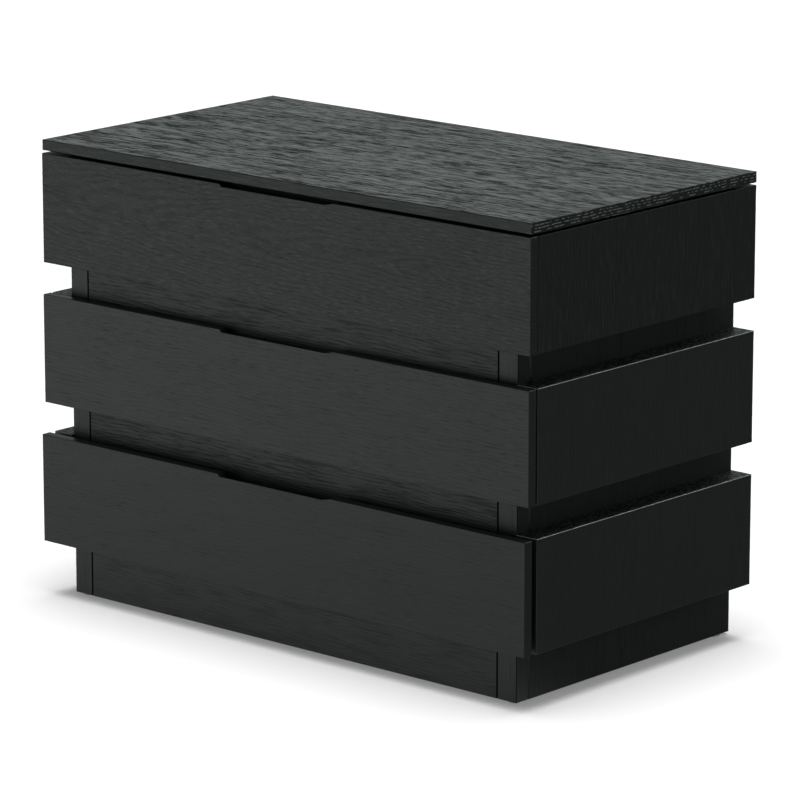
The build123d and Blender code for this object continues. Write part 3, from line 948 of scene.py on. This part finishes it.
    def dress(self) -> None:
        """Dresses every board of the cabinet."""
        self.dress_top()
        self.dress_side_boards()
        self.dress_uprights()
        self.dress_rails()
        self.dress_hidden_boards()


# each front's own figure, from the top drawer down, and its sheen, lowest on the top front and highest on the
# middle one
FRONT_FIGURES = (
    {"heart": (30.0, -12.0), "tilt": (0.9, 4.0), "ring_depth": 0.15, "streak_share": 0.35,
     "streak_depth": 0.18, "glint": 0.45, "sheen": 0.85},
    {"heart": (26.0, 120.0), "tilt": (0.35, 0.6), "ring_depth": 0.09, "streak_share": 0.30,
     "streak_depth": 0.26, "glint": 0.15, "sheen": 1.02},
    {"heart": (22.0, -150.0), "tilt": (-0.3, 0.5), "ring_depth": 0.07, "streak_share": 0.26,
     "streak_depth": 0.24, "glint": 0.1, "sheen": 0.94},
)


@dataclass
class Drawer:
    """One drawer: a notched front on a birch box.

    The notch's lengths are in millimetres: half its width, its depth at the face, how much
    it falls to the back, the band that is pressed down below it, and its run-out at the
    left and at the right. Close pairs of rings, a gap apart, stand where it bends.
    """

    name: str
    index: int
    notch_half: float = 88.0
    notch_depth: float = 3.0
    notch_fall: float = 4.0
    eased_band: float = 14.0
    ramp: Pair = (3.0, 14.0)
    gap: float = 0.4

    def notched(self, low: Vector, high: Vector) -> Callable[[np.ndarray], np.ndarray]:
        """The change that lets the finger notch into the front's top edge.

        Inside the notch's width the top sinks by the notch's depth at the face and further
        towards the back, and the band below it is pressed down in proportion. The cut starts
        steeply at the left end and runs out gently at the right.

        Args:
            low: lowest corner of the front, in metres.
            high: highest corner of the front, in metres.

        Returns:
            A function from places to places.
        """
        def reshape(places: np.ndarray) -> np.ndarray:
            """Sinks the places of the front.

            Args:
                places: vertex places, in metres.

            Returns:
                The places, with the notch let in.
            """
            share = np.clip((places[:, 2] - high.z) / (self.eased_band * MM) + 1, 0, 1)
            back = np.clip((places[:, 1] - low.y) / (high.y - low.y), 0, 1)
            sink = (self.notch_depth + self.notch_fall * back) * MM
            left, right = (
                np.clip((self.notch_half * MM + sign * places[:, 0]) / (run * MM), 0, 1)
                for sign, run in zip((1, -1), self.ramp)
            )
            inside = left * right
            moved = places.copy()
            moved[:, 2] -= inside * share * sink
            return moved

        return reshape

    def dress_front(self) -> None:
        """The front: long wavering grain, with a cathedral figure towards one end of the top one."""
        node = f"{self.name}_front"
        low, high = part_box(node)
        # painted shade: the very low edge sheen darkens the fronts' top and bottom edges and the floor of the
        # notch
        finish = StainedOak(
            f"black_stained_oak_{node}", Grain.WIDTH, ring=4.5, wobble=18.0, streak=(17.0, 1.2),
            patch_depth=0.03, glint_size=(18.0, 1.3), edge_painted_sheen=0.12, end_sheen=0.95, fleck="#0b0d0d",
            roughness=0.36, relief=0.06, seed=24.0 + self.index, **FRONT_FIGURES[self.index],
        )
        half = self.notch_half
        bends = (-half, -half + self.ramp[0], half - self.ramp[1], half)
        stations = tuple(bend + shift for bend in bends for shift in (-self.gap / 2, self.gap / 2))
        board = Board(low, high, 0, stations=stations, step=6.0, seed=60 + self.index)
        piece = board.build(node + "_oak", self.notched(low, high))
        place_piece(piece, finish.build(board.middle()), self.name, [node])

    def dress_box(self) -> None:
        """The birch box behind the front."""
        across = {"inner_front": (Grain.WIDTH, 1), "back": (Grain.WIDTH, 1), "bottom": (Grain.WIDTH, 2)}
        along = {"left_side": (Grain.DEPTH, 0), "right_side": (Grain.DEPTH, 0)}
        for wall, (grain, through) in {**across, **along}.items():
            node = f"{self.name}_{wall}"
            low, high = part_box(node)
            repaint(node, BirchPly(f"birch_plywood_{node}", grain, through).build((low + high) / 2))

    def dress(self) -> None:
        """Dresses the whole drawer."""
        self.dress_front()
        self.dress_box()


@dataclass(frozen=True)
class Fastener:
    """A screw or a pin about +Z, in millimetres: a head at the surface, a ridged shank and a point.

    A countersunk head ends flush and narrows in a cone. A pan head stands up as a shallow
    dome. Thread ridges alternate between the shank's radius and a smaller root, from just
    under the head to where the point begins.
    """

    length: float
    shank: float
    head: float
    rise: float = 0.0
    sink: float = 3.0
    pitch: float = 1.6
    root: float = 0.8
    recess: float = 1.5
    lip: float = 0.2
    collar: float = 0.8
    tip: float = 2.5
    spokes: int = 40

    def profile(self) -> np.ndarray:
        """Works out the outline that is turned about +Z.

        Returns:
            Radius and height of each ring, from the middle of the head to the point.
        """
        share = np.linspace(0, 1, 10)
        if self.rise > 0:
            crown = np.stack([share * self.head * 0.97, self.rise * (1 - 0.5 * share**3)], -1)
            start = 0.0
            neck = [(self.head, self.rise * 0.3), (self.head, 0.0), (self.shank, 0.0)]
        else:
            crown = np.stack([share * (self.head - self.lip), 0 * share], -1)
            start = -self.sink
            neck = [(self.head, -self.lip), (self.head, -0.5), (self.shank, start)]
        crests = np.arange(start - self.collar, self.tip - self.length, -self.pitch)
        ridge = ((1, 0), (self.root, self.pitch / 2))
        ridges = [(self.shank * size, z - drop) for z in crests for size, drop in ridge]
        point = [(self.shank * 0.5, 0.9 - self.length), (0.0, -self.length)]
        return np.concatenate([crown, neck, ridges, point])

    def shape(self) -> Shape:
        """Vertex places in metres, and quads."""
        places, faces = turned(self.profile(), self.spokes, self.recess, self.head * 0.55)
        return places * MM, faces


def spaced(low: float, high: float, count: int) -> list[float]:
    """The middles of equal shares between two ends."""
    return [low + (high - low) * (i + 0.5) / count for i in range(count)]


def both_sides(spots: Sequence[Spot]) -> list[Spot]:
    """Spots with their mirror images across the middle of the width."""
    return spots + [((-x, y, z), (-dx, dy, dz)) for (x, y, z), (dx, dy, dz) in spots]


@dataclass
class Hardware:
    """Runners, screws, pins, glides and pads, at the same places as in the CAD.

    Insets, rises and holes are in millimetres: from a board's edges, from the bottom of a
    drawer's side, and from the front end of a runner.
    """

    board_inset: Pair = (60.0, 20.0)
    top_reach: float = 240.0
    runner_rise: float = 45.0
    runner_sheet: float = 1.2
    cabinet_holes: Triple = (9.0, 150.0, 290.0)
    drawer_holes: Triple = (40.0, 200.0, 320.0)
    corner_rises: Pair = (26.0, 76.0)
    front_rises: Pair = (30.0, 70.0)
    front_reach: float = 200.0
    pin_inset: float = 4.0
    glide_radius: float = 7.0
    glide_step: float = 4.5
    pad_radius: float = 4.0
    pad_inset: float = 32.0
    board_screw: Fastener = Fastener(35.0, 2.0, 4.0)
    top_screw: Fastener = Fastener(24.0, 2.0, 4.0)
    corner_screw: Fastener = Fastener(38.0, 2.0, 4.0)
    front_screw: Fastener = Fastener(21.0, 2.0, 4.0)
    cabinet_pan: Fastener = Fastener(12.0, 1.6, 3.4, rise=1.6, recess=1.0)
    drawer_pan: Fastener = Fastener(10.0, 1.6, 3.4, rise=1.6, recess=1.0)
    pin: Fastener = Fastener(18.0, 0.7, 0.8, sink=0.9, root=0.97, recess=0.0, spokes=16)

    def fit(
        self, node: str, body: str, material: bpy.types.Material,
        groups: Sequence[tuple[Shape, Sequence[Spot]]],
    ) -> None:
        """Builds every copy on a CAD node as one piece.

        Args:
            node: CAD node that the piece stands for.
            body: body it rides on.
            material: its finish.
            groups: shapes, each with the spots where it stands.
        """
        places, faces, count = [], [], 0
        for shape, spots in groups:
            points, quads = copies(shape, spots)
            places.append(points)
            faces.append(quads + count)
            count += len(points)
        piece = finished_mesh(node + "_turned", np.concatenate(places), np.concatenate(faces))
        place_piece(piece, material, body, [node])

    def cabinet_screws(self, steel: bpy.types.Material) -> None:
        """Screws of the side boards, the top and the cabinet runners, and the pins of the back.

        Args:
            steel: finish of every screw and pin.
        """
        board_spots, runner_spots, top_spots = [], [], []
        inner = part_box("right_side_panel")[0].x
        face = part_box("right_post")[0].x - self.runner_sheet * MM
        deep, tall = (inset * MM for inset in self.board_inset)
        for index, band in enumerate(BANDS):
            low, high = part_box(f"right_side_board_{band}")
            for z in (low.z + tall, high.z - tall):
                board_spots += [((inner, y, z), (-1, 0, 0)) for y in (low.y + deep, high.y - deep)]
            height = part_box(f"drawer_{index + 1}_right_side")[0].z + self.runner_rise * MM
            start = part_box(f"drawer_{index + 1}_cabinet_runners")[0].y
            runner_spots += [((face, start + hole * MM, height), (-1, 0, 0)) for hole in self.cabinet_holes]
        for node in ("front_stretcher", "rear_stretcher"):
            low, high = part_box(node)
            reach = self.top_reach * MM
            top_spots += [((x, (low.y + high.y) / 2, low.z), (0, 0, -1)) for x in (-reach, 0.0, reach)]
        for node, screw, spots in (
            ("side_board_screws", self.board_screw, both_sides(board_spots)),
            ("runner_screws", self.cabinet_pan, both_sides(runner_spots)),
            ("top_screws", self.top_screw, top_spots),
            ("back_nails", self.pin, self.pin_spots(inner)),
        ):
            self.fit(node, "cabinet", steel, [(screw.shape(), spots)])

    def pin_spots(self, inner: float) -> list[Spot]:
        """Pins along the top and the bottom of the back, and up both of its sides.

        Args:
            inner: distance from the middle to the inner face of the core side.

        Returns:
            A point and an outward direction for each pin.
        """
        low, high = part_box("back_nails")
        radius = self.pin.head * MM
        rows = [(x, z) for z in (low.z + radius, high.z - radius) for x in spaced(-inner, inner, 5)]
        base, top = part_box("base_panel")[1].z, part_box("rear_stretcher")[0].z
        column = [(inner + self.pin_inset * MM, z) for z in spaced(base, top, 4)]
        both = rows + column + [(-x, z) for x, z in column]
        return [((x, high.y, z), (0, 1, 0)) for x, z in both]

    def drawer_screws(self, steel: bpy.types.Material) -> None:
        """Screws through each drawer's corners, into its front and into its runners.

        Args:
            steel: finish of every screw.
        """
        for index in range(3):
            name = f"drawer_{index + 1}"
            low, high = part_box(f"{name}_right_side")
            front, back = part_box(f"{name}_inner_front"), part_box(f"{name}_back")
            half_wall = (front[1].y - front[0].y) / 2
            ends = (front[0].y + half_wall, back[1].y - half_wall)
            corners = [
                ((high.x, y, low.z + rise * MM), (1, 0, 0)) for y in ends for rise in self.corner_rises
            ]
            reach = self.front_reach * MM
            fronts = [((reach, front[1].y, low.z + rise * MM), (0, 1, 0)) for rise in self.front_rises]
            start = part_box(f"{name}_runners")[0].y
            face, height = high.x + self.runner_sheet * MM, low.z + self.runner_rise * MM
            pans = [((face, start + hole * MM, height), (1, 0, 0)) for hole in self.drawer_holes]
            groups = [
                (self.corner_screw.shape(), both_sides(corners)),
                (self.front_screw.shape(), both_sides(fronts)),
                (self.drawer_pan.shape(), both_sides(pans)),
            ]
            self.fit(f"{name}_screws", name, steel, groups)

    def feet_and_pads(self) -> None:
        """Nail-on glides with a rounded rim, and soft domed pads."""
        nylon = Plain("moulded_nylon", "#dcdcd6", "#cfcfc8", 0.45, ior=1.53, speck=(0.6, 0.6, 0.6)).build()
        rubber = Plain("clear_grey_rubber", "#6d6f70", "#5a5c5d", 0.6, speck=(0.5, 0.5, 0.5)).build()
        bend = np.linspace(0, math.pi / 2, 6)
        # a glide runs from its flat top down over a rounded rim, then up a hollow to its nail's head
        rim = np.stack([6.2 + 0.8 * np.cos(bend), 0.8 - 0.8 * np.sin(bend)], -1)
        top, hollow = [(0, 3), (6.6, 3), (7, 2.6)], [(2.6, 0), (2.2, 0.7), (1.9, 0.5), (0, 0.3)]
        glide = np.concatenate([top, rim, hollow])
        places, faces = turned(glide, 48)
        low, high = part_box("floor_glides")
        edge = self.glide_radius * MM
        front_x, rear_x = high.x - edge - self.glide_step * MM, high.x - edge
        spots = both_sides([((front_x, low.y + edge, 0), (0, 0, 1)), ((rear_x, high.y - edge, 0), (0, 0, 1))])
        self.fit("floor_glides", "cabinet", nylon, [((places * MM, faces), spots)])
        low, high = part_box("bumpers")
        # a pad is a low wall under a dome, and closes flat against the board
        wall, radius = 1.2, self.pad_radius
        tall = (high.y - low.y) / MM
        dome = np.stack([radius * np.sin(bend), wall + (tall - wall) * np.cos(bend)], -1)
        places, faces = turned(np.concatenate([dome, [(radius, 0.3), (radius - 0.1, 0), (0, 0)]]), 32)
        spots, inset = [], self.pad_inset * MM
        for band in BANDS:
            bottom, top = (corner.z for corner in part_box(f"right_side_board_{band}"))
            spots += [((high.x - radius * MM, high.y, z), (0, -1, 0)) for z in (bottom + inset, top - inset)]
        self.fit("bumpers", "cabinet", rubber, [((places * MM, faces), both_sides(spots))])

    def dress(self) -> None:
        """Dresses every metal, nylon and rubber piece."""
        zinc = Plain(
            "zinc_plated_rolled_steel", "#b9bcbe", "#a9adb0", 0.36, metallic=1.0, speck=(6.0, 16.0, 6.0),
            relief=0.006,
        ).build()
        steel = Plain("zinc_plated_screw_steel", "#a9acae", "#84888b", 0.3, metallic=1.0).build()
        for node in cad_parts:
            if node.endswith("runners"):
                repaint(node, zinc)
        self.cabinet_screws(steel)
        self.drawer_screws(steel)
        self.feet_and_pads()


@dataclass(frozen=True)
class Glow:
    """A smooth patch of light in the sky, round its direction.

    Its radiance is full within the cosine of its core, and nothing past that of its edge.
    """

    direction: Triple
    edge: float
    core: float
    radiance: float

    def shade(self, tree: Tree, heading: Socket) -> Socket:
        """Works out the glow along a heading.

        Args:
            tree: node tree of the world.
            heading: direction that light comes from.

        Returns:
            The radiance.
        """
        aim = tuple(Vector(self.direction).normalized())
        facing = add(tree, "VectorMath", (heading, aim), "Value", operation="DOT_PRODUCT")
        return add(tree, "MapRange", (facing, self.edge, self.core, 0.0, self.radiance), **S_CURVE)


@dataclass
class Studio:
    """A white sweep under an overhead softbox, with cards for the lacquer to mirror, and the camera.

    Angles are in degrees and lengths in metres, but for the lens. In the floor the lacquer
    mirrors a level that grows with the distance from the near corner, and a low level
    behind the line where the front ends.
    """

    azimuth: float = 41.478
    elevation: float = 13.523
    distance: float = 5.714
    target: Triple = (0.0099, 0.0043, 0.2624)
    lens: float = 220.25
    floor_half: float = 30.0
    paper: float = 0.8
    paper_glow: float = 0.20
    cool: tuple[float, float, float, float] = (0.915, 1.0, 0.98, 1.0)
    overhead: tuple[Glow, ...] = (Glow((0.0, 0.0, 1.0), 0.93, 0.985, 12.5),)
    haze: float = 0.15
    cards: tuple[Glow, ...] = (
        Glow((-0.64, -0.75, 0.0), 0.50, 0.92, 0.72),
        Glow((-0.64, 0.72, 0.26), 0.62, 0.96, 0.64),
        Glow((0.23, 0.73, 0.64), 0.82, 0.93, 3.6),
    )
    dim: float = 0.05
    mirror_near: float = 0.62
    mirror_far: float = 0.95
    mirror_side: float = 0.12
    near_corner: Triple = (0.375, -0.2, 0.0)
    mirror_reach: Pair = (0.2, 1.9)
    front_line: Pair = (-0.32, 0.0)

    def place_camera(self) -> None:
        """Puts the camera on its sight line to the target."""
        turn, rise = math.radians(self.azimuth), math.radians(self.elevation)
        back = Vector((math.sin(turn) * math.cos(rise), -math.cos(turn) * math.cos(rise), math.sin(rise)))
        data = bpy.data.cameras.new("camera")
        data.lens = self.lens
        data.sensor_width = 36.0
        data.clip_end = 100.0
        camera = bpy.data.objects.new("camera", data)
        camera.location = Vector(self.target) + back * self.distance
        camera.rotation_euler = (-back).to_track_quat("-Z", "Y").to_euler()
        bpy.context.scene.collection.objects.link(camera)
        bpy.context.scene.camera = camera

    def mirrored_floor(self, tree: Tree) -> Socket:
        """What the lacquer mirrors in the floor: brighter in front, and further from the near corner.

        Args:
            tree: node tree of the floor.

        Returns:
            An emission shader.
        """
        place = add(tree, "TexCoord", pick="Object")
        away = add(tree, "VectorMath", (place, self.near_corner), "Value", operation="DISTANCE")
        levels = (self.mirror_near, self.mirror_far)
        front = add(tree, "MapRange", (away, *self.mirror_reach, *levels), **S_CURVE)
        depth = add(tree, "SeparateXYZ", (place,), 1)
        ahead = add(tree, "MapRange", (depth, *self.front_line, 1.0, 0.0), **S_CURVE)
        level = add(tree, "Mix", {0: ahead, 2: self.mirror_side, 3: front}, data_type="FLOAT")
        return add(tree, "Emission", {"Color": self.cool, "Strength": level})

    def lay_floor(self) -> None:
        """White paper that glows a little, so that only the contact shadow is grey."""
        r = self.floor_half
        mesh = bpy.data.meshes.new("floor")
        mesh.from_pydata([(-r, -r, 0), (r, -r, 0), (r, r, 0), (-r, r, 0)], [], [(0, 1, 2, 3)])
        floor = bpy.data.objects.new("floor", mesh)
        bpy.context.scene.collection.objects.link(floor)
        material, tree = blank("white_paper_sweep")
        paper = add(tree, "BsdfDiffuse", {"Color": (self.paper,) * 3 + (1.0,)})
        glow = add(tree, "Emission", {"Color": (1.0,) * 4, "Strength": self.paper_glow})
        both = add(tree, "AddShader", (paper, glow))
        glossy = add(tree, "LightPath", pick="Is Glossy Ray")
        seen = add(tree, "MixShader", (glossy, both, self.mirrored_floor(tree)))
        add(tree, "OutputMaterial", {"Surface": seen}, None)
        mesh.materials.append(material)

    def light_world(self) -> None:
        """Light by direction alone: cards for mirrored rays, and an overhead softbox for the rest."""
        world = bpy.data.worlds.new("soft_studio")
        bpy.context.scene.world = world
        world.use_nodes = True
        tree = world.node_tree
        tree.nodes.clear()
        heading = add(tree, "TexCoord", pick="Generated")
        path = add(tree, "LightPath", pick=None)
        diffuse, mirror = self.haze, self.dim
        for glow in self.overhead:
            diffuse = add(tree, "Math", (glow.shade(tree, heading), diffuse), operation="ADD")
        for card in self.cards:
            mirror = add(tree, "Math", (card.shade(tree, heading), mirror), operation="ADD")
        glossy, camera = path["Is Glossy Ray"], path["Is Camera Ray"]
        level = add(tree, "Mix", {0: glossy, 2: diffuse, 3: mirror}, data_type="FLOAT")
        level = add(tree, "Mix", {0: camera, 2: level, 3: 1.0}, data_type="FLOAT")
        colour = add(tree, "Mix", {0: glossy, 6: (1.0,) * 4, 7: self.cool}, 2, data_type="RGBA")
        background = add(tree, "Background", {"Color": colour, "Strength": level})
        add(tree, "OutputWorld", {"Surface": background}, None)

    def build(self) -> None:
        """Builds the studio and sets how light is shown."""
        self.place_camera()
        self.lay_floor()
        self.light_world()
        settings = bpy.context.scene.view_settings
        settings.view_transform = "Standard"
        settings.look = "None"


def main() -> None:
    """Builds the studio, the cabinet, the drawers and the hardware, in order."""
    logging.basicConfig(level=logging.INFO, format="%(name)s: %(message)s")
    Studio().build()
    Cabinet().dress()
    for index in range(3):
        Drawer(f"drawer_{index + 1}", index).dress()
    Hardware().dress()


if __name__ == "__main__":
    main()
